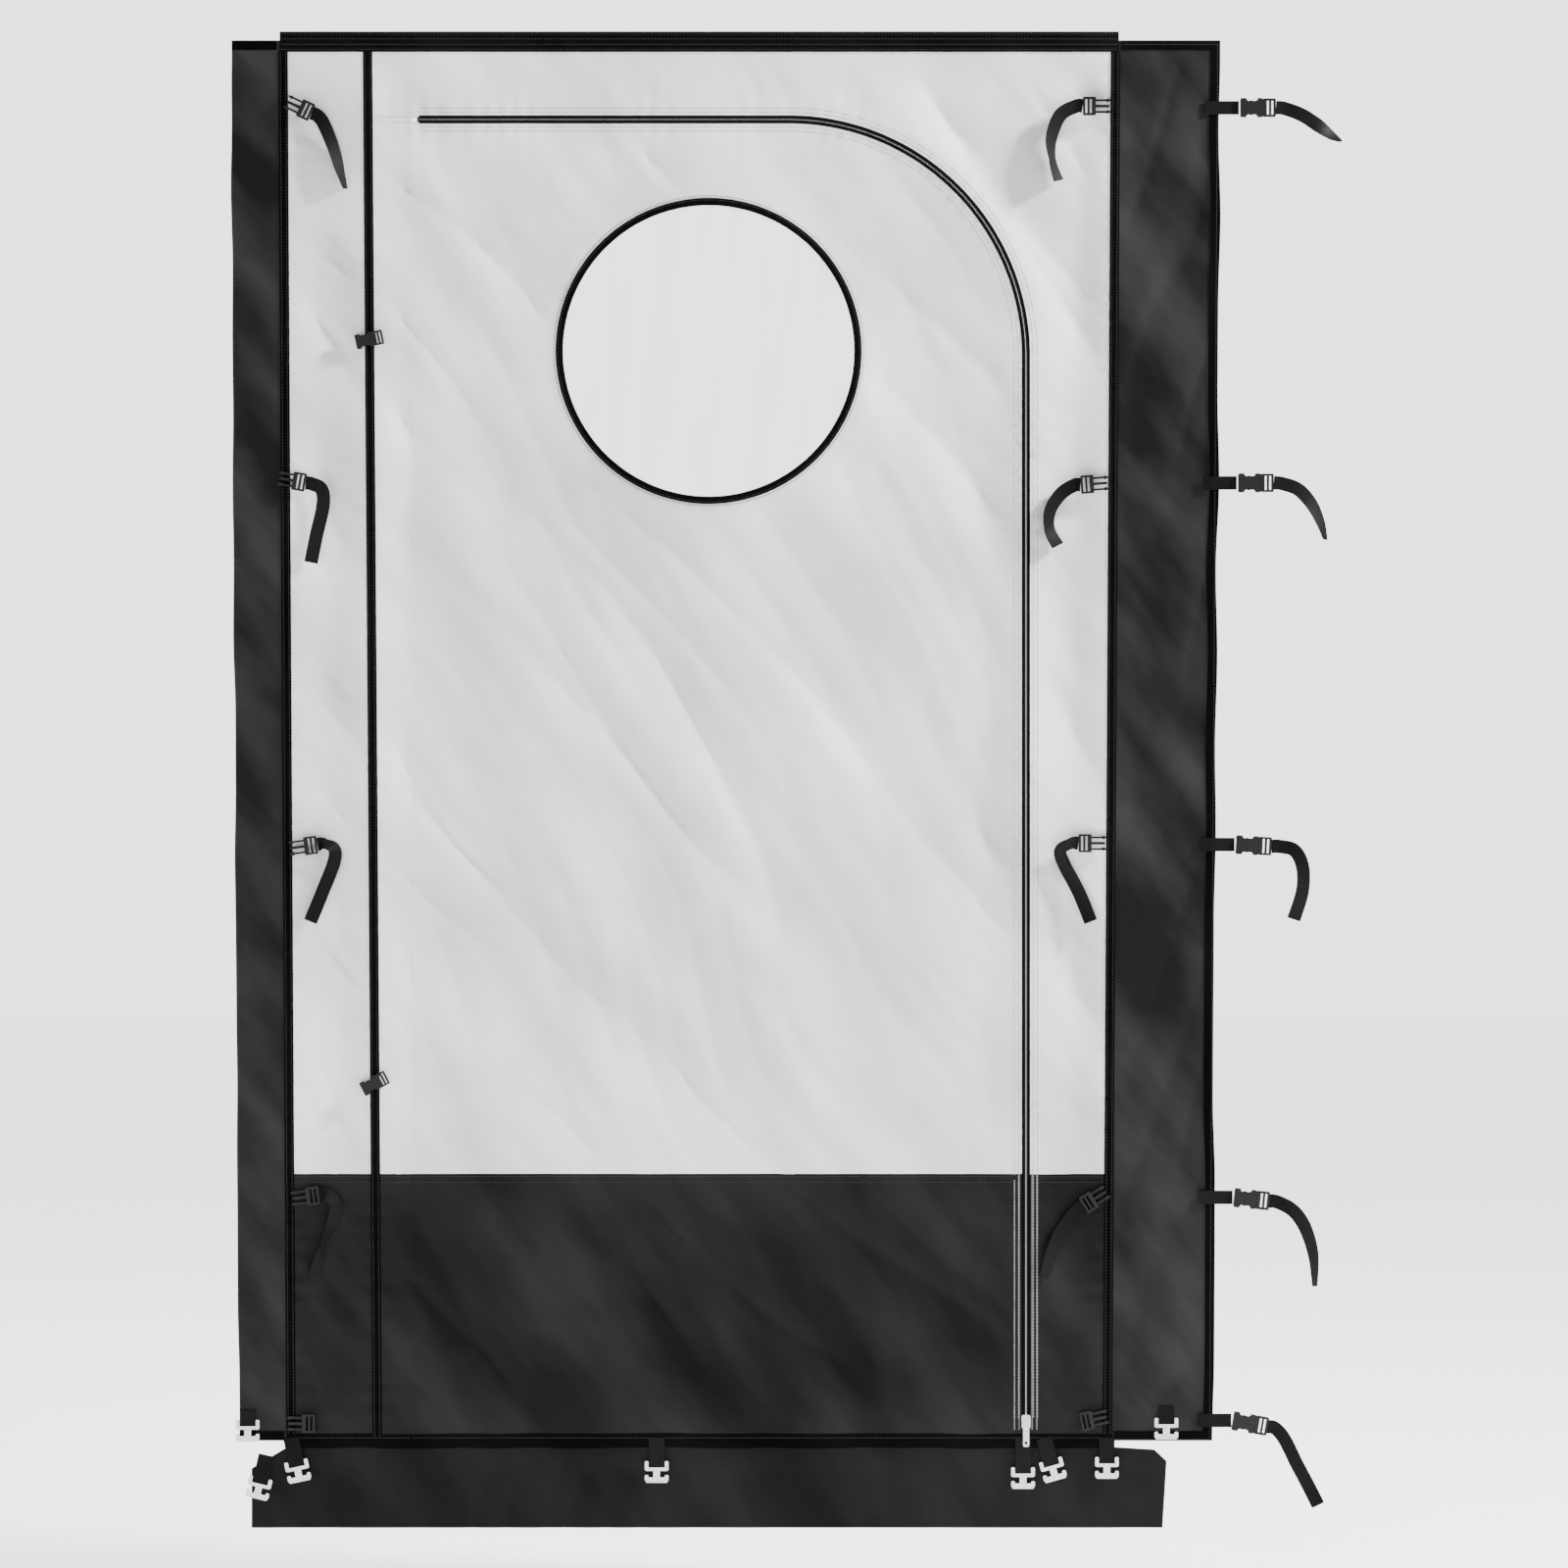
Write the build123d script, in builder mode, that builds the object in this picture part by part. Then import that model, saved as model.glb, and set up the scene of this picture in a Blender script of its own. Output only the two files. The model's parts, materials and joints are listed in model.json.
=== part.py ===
"""Hanging door wall for a pop-up shelter: fabric panels, zipped door with a round window,
two folding leg wings, buckled straps, hem hooks and a mud flap.

Frame: +X to the right as seen from outside, +Z up, the outside looks to -Y.
The origin is the centre of the outer face of the top hem tape. Millimetres.
"Front" values below are distances towards the outside, so y = -front.
"""
import math
import os

from build123d import *

os.makedirs("parts", exist_ok=True)

# ---- driving dimensions -------------------------------------------------------------
FABRIC = 1.0                  # cloth thickness, seam allowances included
TAPE = 1.0                    # binding and webbing tape sewn on the cloth
HEM_TAPE = 1.5                # hook-and-loop band along the top
WEBBING = 1.5                 # strap webbing thickness
STRAP_WIDTH = 20.0
TAB_WIDTH = 25.0
BINDING_WIDTH = 14.0

CLOTH_FRONT = -HEM_TAPE       # outer face of the cloth
CLOTH_BACK = CLOTH_FRONT - FABRIC
TAPE_FRONT = CLOTH_FRONT + TAPE

HEM_HALF_LENGTH = 621.0
HEM_HALF_HEIGHT = 15.0
SEAM_TOP = 616.0              # half width between the leg seams at the top
SEAM_BOTTOM = 604.0           # and at the hem
KICK_TOP = -1676.0
CLOTH_BOTTOM = -2070.0
HEM_TOP = -2060.0
HEM_BOTTOM = -2081.0
SEAM_GAP = 1.5                # from a fold line to the cloth on each side of it

EDGE_TAPE_TOP = -491.0        # tape that the rolled door is tied against
EDGE_TAPE_BOTTOM = -476.5
DOOR_FOLD = -424.0            # vertical line that the door folds about
ZIP_X = 483.5
ZIP_Z = -115.0
ZIP_RADIUS = 350.0
TEETH_INNER = 0.2
TEETH_OUTER = 3.0
ZIP_TAPE_OUTER = 18.0
ZIP_CLOTH = 3.2               # cloth edge to the zip's centre line
TEETH_END = -2030.0

WINDOW_X = 13.8
WINDOW_Z = -457.5
WINDOW_RADIUS = 221.0
WINDOW_BINDING = 11.0

WING_WIDTH = 155.0
WING_TOP = 2.0
LEFT_INNER_WIDTH = 76.0
LEFT_OUTER_WIDTH = 68.0
FOLD_GAP = 3.0                # between the two folded halves of the left wing

# heights of the strap rows down both leg seams
ROWS = [-98.0, -653.0, -1188.0, -1710.0, -2040.0]

SOCKET_LENGTH = 33.0
BUCKLE_WIDTH = 28.0
BUCKLE_THICK = 9.0
PLUG_LENGTH = 19.0
PLUG_GAP = 0.3

FLAP_LEFT = -663.0
FLAP_RIGHT = 692.0
FLAP_BOTTOM = -2200.0
FLAP_TOP = -2071.0
FLAP_SETBACK = 3.6            # from the back of the cloth to the flap's outer face


# ---- helpers ------------------------------------------------------------------------
def front(distance):
    """Plane facing the outside, `distance` in front of the origin."""
    return Plane.XZ.offset(distance)


def seam(z):
    """Half width between the leg seams at height z: the wall narrows towards the hem."""
    return SEAM_TOP + (SEAM_BOTTOM - SEAM_TOP) * z / CLOTH_BOTTOM


def edge_tape_x(z):
    return EDGE_TAPE_TOP + (EDGE_TAPE_BOTTOM - EDGE_TAPE_TOP) * z / HEM_TOP


def save(part, label):
    part.label = label
    export_step(part, f"parts/{label}.step")


def slab(label, back, thickness, *outlines):
    """Flat piece with a straight-sided outline, or a group of such pieces."""
    with BuildPart() as piece:
        for points in outlines:
            with BuildSketch(front(back)):
                with BuildLine():
                    Polyline(*points, close=True)
                make_face()
            extrude(amount=thickness)
    save(piece.part, label)


def box_outline(low_x, high_x, top, bottom):
    return [(low_x, top), (high_x, top), (high_x, bottom), (low_x, bottom)]


def leaning_outline(centre_x, width, top, bottom):
    """Outline of a straight tape whose centre line is the function centre_x(z)."""
    half = width / 2
    return [(centre_x(top) - half, top), (centre_x(top) + half, top),
            (centre_x(bottom) + half, bottom), (centre_x(bottom) - half, bottom)]


def zip_line(inset):
    """The zip's run from its start to the hem, moved towards the door by `inset`."""
    radius = ZIP_RADIUS - inset
    centre = (ZIP_X - ZIP_RADIUS, ZIP_Z - ZIP_RADIUS)
    Line((DOOR_FOLD + 6, ZIP_Z - inset), (centre[0], ZIP_Z - inset))
    CenterArc(centre, radius, 0, 90)
    Line((ZIP_X - inset, centre[1]), (ZIP_X - inset, TEETH_END))


def zip_strip(inner, outer, side, back, thickness, label):
    """Band along the zip between two distances from its centre line, on one side."""
    with BuildPart() as piece:
        with BuildSketch(front(back)):
            with BuildLine():
                zip_line(side * (inner + outer) / 2)
            trace(line_width=outer - inner)
        extrude(amount=thickness)
    save(piece.part, label)


# ---- top band and fixed cloth -------------------------------------------------------
slab("top_hem_tape", CLOTH_FRONT, HEM_TAPE,
     box_outline(-HEM_HALF_LENGTH, HEM_HALF_LENGTH, HEM_HALF_HEIGHT, -HEM_HALF_HEIGHT))

HEADER_TOP = HEM_HALF_HEIGHT - 2
HEADER_BOTTOM = ZIP_Z + ZIP_CLOTH
ARC_X = ZIP_X - ZIP_RADIUS
ARC_Z = ZIP_Z - ZIP_RADIUS
FRAME_EDGE = ZIP_X + ZIP_CLOTH       # fixed cloth beside the zip
DOOR_EDGE = ZIP_X - ZIP_CLOTH        # door cloth beside the zip
FIXED_FOLD = DOOR_FOLD - SEAM_GAP
DOOR_START = DOOR_FOLD + SEAM_GAP


def cloth_edge(z):
    """Half width of the fixed cloth, just inside the leg seams."""
    return seam(z) - SEAM_GAP


with BuildPart() as header_panel:
    with BuildSketch(front(CLOTH_BACK)):
        with BuildLine():
            Polyline((FRAME_EDGE, ARC_Z), (cloth_edge(ARC_Z), ARC_Z), (cloth_edge(0), HEADER_TOP),
                     (-cloth_edge(0), HEADER_TOP), (-cloth_edge(HEADER_BOTTOM), HEADER_BOTTOM),
                     (ARC_X, HEADER_BOTTOM))
            CenterArc((ARC_X, ARC_Z), ZIP_RADIUS + ZIP_CLOTH, 0, 90)
        make_face()
    extrude(amount=FABRIC)
save(header_panel.part, "header_panel")

slab("hinge_side_panel", CLOTH_BACK, FABRIC,
     [(-cloth_edge(HEADER_BOTTOM), HEADER_BOTTOM), (FIXED_FOLD, HEADER_BOTTOM),
      (FIXED_FOLD, KICK_TOP), (-cloth_edge(KICK_TOP), KICK_TOP)])
slab("zip_side_panel", CLOTH_BACK, FABRIC,
     [(FRAME_EDGE, ARC_Z), (cloth_edge(ARC_Z), ARC_Z),
      (cloth_edge(KICK_TOP), KICK_TOP), (FRAME_EDGE, KICK_TOP)])
slab("side_kick_panels", CLOTH_BACK, FABRIC,
     [(-cloth_edge(KICK_TOP), KICK_TOP), (FIXED_FOLD, KICK_TOP),
      (FIXED_FOLD, CLOTH_BOTTOM), (-cloth_edge(CLOTH_BOTTOM), CLOTH_BOTTOM)],
     [(FRAME_EDGE, KICK_TOP), (cloth_edge(KICK_TOP), KICK_TOP),
      (cloth_edge(CLOTH_BOTTOM), CLOTH_BOTTOM), (FRAME_EDGE, CLOTH_BOTTOM)])

# ---- tapes sewn on the cloth --------------------------------------------------------
TAPE_TOP = -HEM_HALF_HEIGHT
slab("left_seam_binding", CLOTH_FRONT, TAPE,
     leaning_outline(lambda z: -seam(z), BINDING_WIDTH, TAPE_TOP, HEM_TOP))
slab("right_seam_binding", CLOTH_FRONT, TAPE,
     leaning_outline(seam, BINDING_WIDTH, TAPE_TOP, HEM_TOP))
slab("door_edge_tape", CLOTH_FRONT, TAPE,
     leaning_outline(edge_tape_x, BINDING_WIDTH, TAPE_TOP, HEM_TOP))

HEM_REACH = SEAM_BOTTOM - SEAM_GAP
slab("fixed_hems", CLOTH_FRONT, TAPE,
     box_outline(-HEM_REACH, FIXED_FOLD, HEM_TOP, HEM_BOTTOM),
     box_outline(FRAME_EDGE, HEM_REACH, HEM_TOP, HEM_BOTTOM))
slab("door_hem", CLOTH_FRONT, TAPE, box_outline(DOOR_START, DOOR_EDGE, HEM_TOP, HEM_BOTTOM))

# ---- door ---------------------------------------------------------------------------
DOOR_TOP = ZIP_Z - ZIP_CLOTH
with BuildPart() as door_panel:
    with BuildSketch(front(CLOTH_BACK)):
        with BuildLine():
            Polyline((ARC_X, DOOR_TOP), (DOOR_START, DOOR_TOP), (DOOR_START, KICK_TOP),
                     (DOOR_EDGE, KICK_TOP), (DOOR_EDGE, ARC_Z))
            CenterArc((ARC_X, ARC_Z), ZIP_RADIUS - ZIP_CLOTH, 0, 90)
        make_face()
        with Locations((WINDOW_X, WINDOW_Z)):
            Circle(WINDOW_RADIUS, mode=Mode.SUBTRACT)
    extrude(amount=FABRIC)
save(door_panel.part, "door_panel")

slab("door_kick_panel", CLOTH_BACK, FABRIC,
     box_outline(DOOR_START, DOOR_EDGE, KICK_TOP, CLOTH_BOTTOM))

with BuildPart() as window_film:
    with BuildSketch(front(CLOTH_BACK)):
        with Locations((WINDOW_X, WINDOW_Z)):
            Circle(WINDOW_RADIUS)
    extrude(amount=FABRIC)
save(window_film.part, "window_film")

with BuildPart() as window_binding:
    with BuildSketch(front(CLOTH_FRONT)):
        with Locations((WINDOW_X, WINDOW_Z)):
            Circle(WINDOW_RADIUS + WINDOW_BINDING / 2)
            Circle(WINDOW_RADIUS - WINDOW_BINDING / 2, mode=Mode.SUBTRACT)
    extrude(amount=TAPE)
save(window_binding.part, "window_binding")

# ---- zip ----------------------------------------------------------------------------
ZIP_TAPE_THICK = 0.6
TEETH_THICK = 2.4
TEETH_BACK = CLOTH_BACK - (TEETH_THICK - FABRIC) / 2
for side, owner in ((1, "door"), (-1, "frame")):
    zip_strip(TEETH_OUTER, ZIP_TAPE_OUTER, side, CLOTH_BACK - ZIP_TAPE_THICK,
              ZIP_TAPE_THICK, f"zip_tape_{owner}")
    zip_strip(TEETH_INNER, TEETH_OUTER, side, TEETH_BACK, TEETH_THICK, f"zip_teeth_{owner}")

SLIDER_Z = -2042.0
SLIDER_WIDTH = 13.0
SLIDER_LENGTH = 20.0
SLIDER_BACK = TEETH_BACK + TEETH_THICK + 0.4
SLIDER_FRONT = SLIDER_BACK + 1.4
BAR_Z = SLIDER_Z - 2          # pull's top bar, under the slider's bridge
BRIDGE_WIDTH = 3.0
BRIDGE_LENGTH = 10.0
BRIDGE_HEIGHT = 3.6
BRIDGE_INSIDE = 2.8
with BuildPart() as zip_slider:
    with BuildSketch(front(SLIDER_BACK)):
        with Locations((ZIP_X, SLIDER_Z)):
            RectangleRounded(SLIDER_WIDTH, SLIDER_LENGTH, 3)
    extrude(amount=SLIDER_FRONT - SLIDER_BACK)
    with BuildSketch(Plane.YZ.offset(ZIP_X - BRIDGE_WIDTH / 2)):
        with Locations((-SLIDER_FRONT - BRIDGE_HEIGHT / 2, BAR_Z)):
            Rectangle(BRIDGE_HEIGHT, BRIDGE_LENGTH)
        with Locations((-SLIDER_FRONT - BRIDGE_INSIDE / 2, BAR_Z)):
            Rectangle(BRIDGE_INSIDE, BRIDGE_LENGTH / 2, mode=Mode.SUBTRACT)
    extrude(amount=BRIDGE_WIDTH)
save(zip_slider.part, "zip_slider")

PULL_BACK = SLIDER_FRONT + 0.8
PULL_THICK = 1.2
PULL_LENGTH = 36.0
PULL_WIDTH = 9.0
BAR_ABOVE = 1.0               # the pull's bar is centred on its pivot
with BuildPart() as zip_pull:
    with BuildSketch(front(PULL_BACK)):
        with Locations((ZIP_X, BAR_Z + BAR_ABOVE - PULL_LENGTH / 2)):
            RectangleRounded(PULL_WIDTH, PULL_LENGTH, 3)
        with Locations((ZIP_X, BAR_Z - BAR_ABOVE - 4)):
            RectangleRounded(PULL_WIDTH - 3.6, 8, 0.8, mode=Mode.SUBTRACT)
        with Locations((ZIP_X, BAR_Z - 29)):
            Circle(2.2, mode=Mode.SUBTRACT)
    extrude(amount=PULL_THICK)
save(zip_pull.part, "zip_pull")


# ---- side-release buckle, drawn with its mouth towards +X ----------------------------
WALL = 2.0
PRONG_GAP = 0.6               # between the prongs and the socket's faces
ARM_OFFSET = 8.6
CENTRE_PRONG = 20.0
ARM_LENGTH = 22.0
PLUG_BASE = SOCKET_LENGTH + PLUG_GAP
BUCKLE_END = PLUG_BASE + PLUG_LENGTH


def build_socket():
    """Female half: a hollow waisted shell, open at its mouth and at both sides."""
    with BuildPart() as shell:
        with BuildSketch(front(0)):
            with Locations((SOCKET_LENGTH / 2, 0)):
                RectangleRounded(SOCKET_LENGTH, BUCKLE_WIDTH, 2)
        extrude(amount=BUCKLE_THICK)
        with BuildSketch(front(WALL)):
            with Locations((SOCKET_LENGTH / 2 + 4, 0)):
                Rectangle(SOCKET_LENGTH - 8, BUCKLE_WIDTH - 5)
        extrude(amount=BUCKLE_THICK - 2 * WALL, mode=Mode.SUBTRACT)
        with BuildSketch(front(0)):
            with Locations((SOCKET_LENGTH * 0.52, BUCKLE_WIDTH / 2),
                           (SOCKET_LENGTH * 0.52, -BUCKLE_WIDTH / 2)):
                Ellipse(8.5, 5.5)
        extrude(amount=BUCKLE_THICK, mode=Mode.SUBTRACT)
    return shell.part


def build_plug():
    """Male half: three prongs, a stop block and a ladder lock for the webbing."""
    with BuildPart() as plug:
        with BuildSketch(front(WALL + PRONG_GAP)):
            with Locations((PLUG_BASE - CENTRE_PRONG / 2, 0)):
                Rectangle(CENTRE_PRONG, 4)
            with Locations((PLUG_BASE - ARM_LENGTH / 2, ARM_OFFSET),
                           (PLUG_BASE - ARM_LENGTH / 2, -ARM_OFFSET)):
                Rectangle(ARM_LENGTH, 3)
            with Locations((PLUG_BASE - 17.5, ARM_OFFSET - 0.2),
                           (PLUG_BASE - 17.5, 0.2 - ARM_OFFSET)):
                Circle(2.6)
        extrude(amount=BUCKLE_THICK - 2 * (WALL + PRONG_GAP))
        with BuildSketch(front(0.5)):
            with Locations((PLUG_BASE + PLUG_LENGTH / 2, 0)):
                RectangleRounded(PLUG_LENGTH, BUCKLE_WIDTH - 1, 1.5)
            with Locations((PLUG_BASE + 7.5, 0), (PLUG_BASE + 14, 0)):
                Rectangle(3.4, STRAP_WIDTH + 1, mode=Mode.SUBTRACT)
        extrude(amount=BUCKLE_THICK - 1)
    return plug.part


SOCKET = build_socket()
PLUG = build_plug()


def tilted(x, z, degrees, back):
    """Place for a piece whose own origin goes to x, z, turned up by `degrees`."""
    return Location((x, -back, z), (0, -degrees, 0))


def along(x, z, degrees, distance):
    """Point at a distance from x, z in the direction that `degrees` gives."""
    turn = math.radians(degrees)
    return (x + distance * math.cos(turn), z + distance * math.sin(turn))


def place(shape, places, label):
    with BuildPart() as group:
        with Locations(*places):
            add(shape)
    save(group.part, label)


STRAP_BEND = 10.6             # just over half the strap's width
STRAP_LEAD = 10.0             # straight webbing behind a ladder lock
STRAP_GAP = 0.5


def strap(x, z, degrees, offsets, back):
    """Flat strap that leaves a ladder lock at x, z and follows the offsets from there."""
    route = [along(x, z, degrees, STRAP_GAP), along(x, z, degrees, STRAP_LEAD)]
    route += [(x + dx, z + dz) for dx, dz in offsets]
    with BuildPart() as band:
        with BuildSketch(front(back)):
            with BuildLine():
                FilletPolyline(*route, radius=STRAP_BEND)
            trace(line_width=STRAP_WIDTH)
        extrude(amount=WEBBING)
    return band.part


# ---- right leg wing -----------------------------------------------------------------
def wing_edge(z):
    return seam(z) + WING_WIDTH


BINDING_START = SEAM_GAP + BINDING_WIDTH / 2 + 1      # clear of the seam binding
slab("right_wing_panel", CLOTH_BACK, FABRIC,
     [(seam(WING_TOP) + SEAM_GAP, WING_TOP), (wing_edge(WING_TOP), WING_TOP),
      (wing_edge(CLOTH_BOTTOM), CLOTH_BOTTOM), (seam(CLOTH_BOTTOM) + SEAM_GAP, CLOTH_BOTTOM)])
slab("right_wing_binding", CLOTH_FRONT, TAPE,
     [(seam(WING_TOP) + BINDING_START, WING_TOP), (wing_edge(WING_TOP), WING_TOP),
      (wing_edge(CLOTH_BOTTOM), CLOTH_BOTTOM),
      (seam(CLOTH_BOTTOM) + BINDING_START, CLOTH_BOTTOM),
      (seam(CLOTH_BOTTOM) + BINDING_START, CLOTH_BOTTOM + BINDING_WIDTH),
      (wing_edge(CLOTH_BOTTOM) - BINDING_WIDTH, CLOTH_BOTTOM + BINDING_WIDTH),
      (wing_edge(WING_TOP) - BINDING_WIDTH, WING_TOP - BINDING_WIDTH),
      (seam(WING_TOP) + BINDING_START, WING_TOP - BINDING_WIDTH)])

# ---- straps on the right wing's free edge -------------------------------------------
ANCHOR_OVERLAP = 22.0         # webbing sewn down on the wing
ANCHOR_FREE = 30.0            # from the wing's edge to the socket
ANCHOR_GAP = 2.0
EDGE_BUCKLE_BACK = -3.0       # these buckles hang clear of the cloth
EDGE_TAIL_BACK = EDGE_BUCKLE_BACK + (BUCKLE_THICK - WEBBING) / 2
EDGE_TILTS = [0, 0, -3, -6, -10]
# where each tail goes, from the end of its ladder lock
EDGE_TAILS = [
    [(46, -8), (98, -50)],
    [(42, -14), (76, -80)],
    [(40, -10), (46, -52), (24, -112)],
    [(42, -28), (62, -80), (54, -132)],
    [(72, -112)],
]

slab("right_edge_anchors", TAPE_FRONT, WEBBING,
     *[box_outline(wing_edge(z) - ANCHOR_OVERLAP, wing_edge(z) + ANCHOR_FREE - ANCHOR_GAP,
                   z + STRAP_WIDTH / 2, z - STRAP_WIDTH / 2) for z in ROWS])
place(SOCKET, [tilted(wing_edge(z) + ANCHOR_FREE, z, tilt, EDGE_BUCKLE_BACK)
               for z, tilt in zip(ROWS, EDGE_TILTS)], "right_edge_sockets")
for row, (z, tilt, offsets) in enumerate(zip(ROWS, EDGE_TILTS, EDGE_TAILS), start=1):
    x = wing_edge(z) + ANCHOR_FREE
    place(PLUG, [tilted(x, z, tilt, EDGE_BUCKLE_BACK)], f"right_edge_plug_{row}")
    end_x, end_z = along(x, z, tilt, BUCKLE_END)
    save(strap(end_x, end_z, tilt, offsets, EDGE_TAIL_BACK), f"right_edge_tail_{row}")

# ---- plugs and tails sewn into the two leg seams --------------------------------------
SEAM_BUCKLE_BACK = 0.0        # these buckles lie in front of the seam
SEAM_TAIL_BACK = SEAM_BUCKLE_BACK + (BUCKLE_THICK - WEBBING) / 2
# ladder lock's end from the seam and the row, tilt, then where the tail goes from there
RIGHT_SEAM = [
    (-48, 2, 0, [(-34, -14), (-46, -56), (-36, -112)]),
    (-48, -3, 4, [(-30, -16), (-40, -48), (-30, -92)]),
    (-48, 2, 0, [(-26, -10), (-2, -74), (18, -118)]),
    (-38, -12, 32, [(-32, -36), (-58, -108)]),
    (-40, -2, 12, []),
]
LEFT_SEAM = [
    (42, -8, -25, [(30, -44), (48, -112)]),
    (30, 0, -10, [(28, -16), (24, -50), (6, -120)]),
    (44, 0, 8, [(26, -8), (10, -60), (-10, -116)]),
    (44, 4, 8, [(24, -22), (2, -74), (-8, -122)]),
    (36, -4, 0, []),
]
seam_places = []
with BuildPart() as seam_tails:
    for side, rows in ((1, RIGHT_SEAM), (-1, LEFT_SEAM)):
        for z_row, (dx, dz, tilt, offsets) in zip(ROWS, rows):
            x = side * seam(z_row) + dx
            z = z_row + dz
            # the prongs point over the seam, so the plug is drawn back from its mouth end
            aim = tilt + (180 if side > 0 else 0)
            seam_places.append(tilted(*along(x, z, aim, -BUCKLE_END), aim, SEAM_BUCKLE_BACK))
            if offsets:
                add(strap(x, z, aim, offsets, SEAM_TAIL_BACK))
save(seam_tails.part, "seam_tails")
place(PLUG, seam_places, "seam_plugs")


# ---- left leg wing, folded in two: its outer half lies behind the inner half ----------
def left_fold(z):
    return -seam(z) - LEFT_INNER_WIDTH


def outer_edge(z):
    return left_fold(z) + LEFT_OUTER_WIDTH


slab("left_wing_inner_panel", CLOTH_BACK, FABRIC,
     [(left_fold(WING_TOP), WING_TOP), (-seam(WING_TOP) - SEAM_GAP, WING_TOP),
      (-seam(CLOTH_BOTTOM) - SEAM_GAP, CLOTH_BOTTOM), (left_fold(CLOTH_BOTTOM), CLOTH_BOTTOM)])
slab("left_wing_inner_binding", CLOTH_FRONT, TAPE,
     *[box_outline(left_fold(top), -seam(top) - BINDING_START, top, top - BINDING_WIDTH)
       for top in (WING_TOP, CLOTH_BOTTOM + BINDING_WIDTH)])

OUTER_BACK = CLOTH_BACK - FOLD_GAP - FABRIC
slab("left_wing_outer_panel", OUTER_BACK, FABRIC,
     [(left_fold(WING_TOP), WING_TOP), (outer_edge(WING_TOP), WING_TOP),
      (outer_edge(CLOTH_BOTTOM), CLOTH_BOTTOM), (left_fold(CLOTH_BOTTOM), CLOTH_BOTTOM)])
slab("left_wing_outer_binding", OUTER_BACK - TAPE, TAPE,
     leaning_outline(lambda z: outer_edge(z) - BINDING_WIDTH / 2, BINDING_WIDTH,
                     WING_TOP, CLOTH_BOTTOM))

# the sockets and plugs lie on the back of the outer half, turned in towards the fold
LEFT_BUCKLE_BACK = OUTER_BACK - TAPE - 0.5 - BUCKLE_THICK
LEFT_TAIL_LENGTH = 90.0
left_places = [tilted(outer_edge(z) - 8, z, 180, LEFT_BUCKLE_BACK) for z in ROWS]
place(SOCKET, left_places, "left_edge_sockets")
place(PLUG, left_places, "left_edge_plugs")
left_tails = []
for z in ROWS:
    # the lowest tail is turned up, so that it stays above the hem
    start = z + BUCKLE_WIDTH / 2 + 1 + LEFT_TAIL_LENGTH if z == ROWS[-1] else z - BUCKLE_WIDTH / 2 - 1
    left_tails.append(box_outline(left_fold(z) + 1, left_fold(z) + 1 + STRAP_WIDTH,
                                  start, start - LEFT_TAIL_LENGTH))
slab("left_edge_tails", LEFT_BUCKLE_BACK + BUCKLE_THICK / 2, WEBBING, *left_tails)

# ---- ties that hold the rolled door against its edge tape -----------------------------
TIE_SCALE = 0.78              # a smaller buckle of the same pattern
TIE_BACK = TAPE_FRONT + 0.3
TIES = ((-441.0, 12), (-1541.0, 28))
with BuildPart() as tie_socket:
    add(SOCKET.scale(TIE_SCALE))
with BuildPart() as tie_plug:
    add(PLUG.scale(TIE_SCALE))
tie_places = [tilted(*along(edge_tape_x(z), z, tilt, -TIE_SCALE * BUCKLE_END / 2), tilt, TIE_BACK)
              for z, tilt in TIES]
place(tie_socket.part, tie_places, "tie_sockets")
place(tie_plug.part, tie_places[:1], "upper_tie_plug")
place(tie_plug.part, tie_places[1:], "lower_tie_plug")

# ---- mud flap -----------------------------------------------------------------------
FLAP_FRONT = CLOTH_BACK - FLAP_SETBACK
slab("mud_flap", FLAP_FRONT - FABRIC, FABRIC,
     [(4 - SEAM_BOTTOM, FLAP_TOP), (SEAM_BOTTOM - 4, FLAP_TOP), (SEAM_BOTTOM + 6, FLAP_TOP - 9),
      (FLAP_RIGHT - 18, FLAP_TOP - 13), (FLAP_RIGHT, FLAP_TOP - 30),
      (FLAP_RIGHT - 6, FLAP_BOTTOM), (FLAP_LEFT, FLAP_BOTTOM), (FLAP_LEFT, FLAP_TOP - 41),
      (-SEAM_BOTTOM - 4, FLAP_TOP - 8)])

# ---- hem hooks ----------------------------------------------------------------------
HOOK_WIDTH = 35.0
HOOK_THICK = 2.5
HOOK_LIFT = 0.4               # from the tape the tab is sewn on to the back of the hook
HORN = 5.5                    # width of each horn
BAR_DROP = 9.5                # from the tips of the horns to the webbing bar
TAB_END_GAP = 0.5


def build_hook():
    """Flat pressed hook: webbing bar with two raised horns, waist, foot with upturned ends."""
    side = (HOOK_WIDTH - HORN) / 2
    with BuildPart() as hook:
        with BuildSketch(front(0)):
            with Locations((0, -BAR_DROP - 2.5)):
                Rectangle(HOOK_WIDTH - 4, 5)
            with Locations((-side, -7), (side, -7)):
                RectangleRounded(HORN, 14, 2)
            with Locations((0, -18)):
                Rectangle(10, 12)
            with Locations((0, -28)):
                RectangleRounded(HOOK_WIDTH - 3, 8, 2)
            with Locations((-side, -25), (side, -25)):
                RectangleRounded(HORN, 9, 2)
        extrude(amount=HOOK_THICK)
    return hook.part


HOOK = build_hook()
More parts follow.
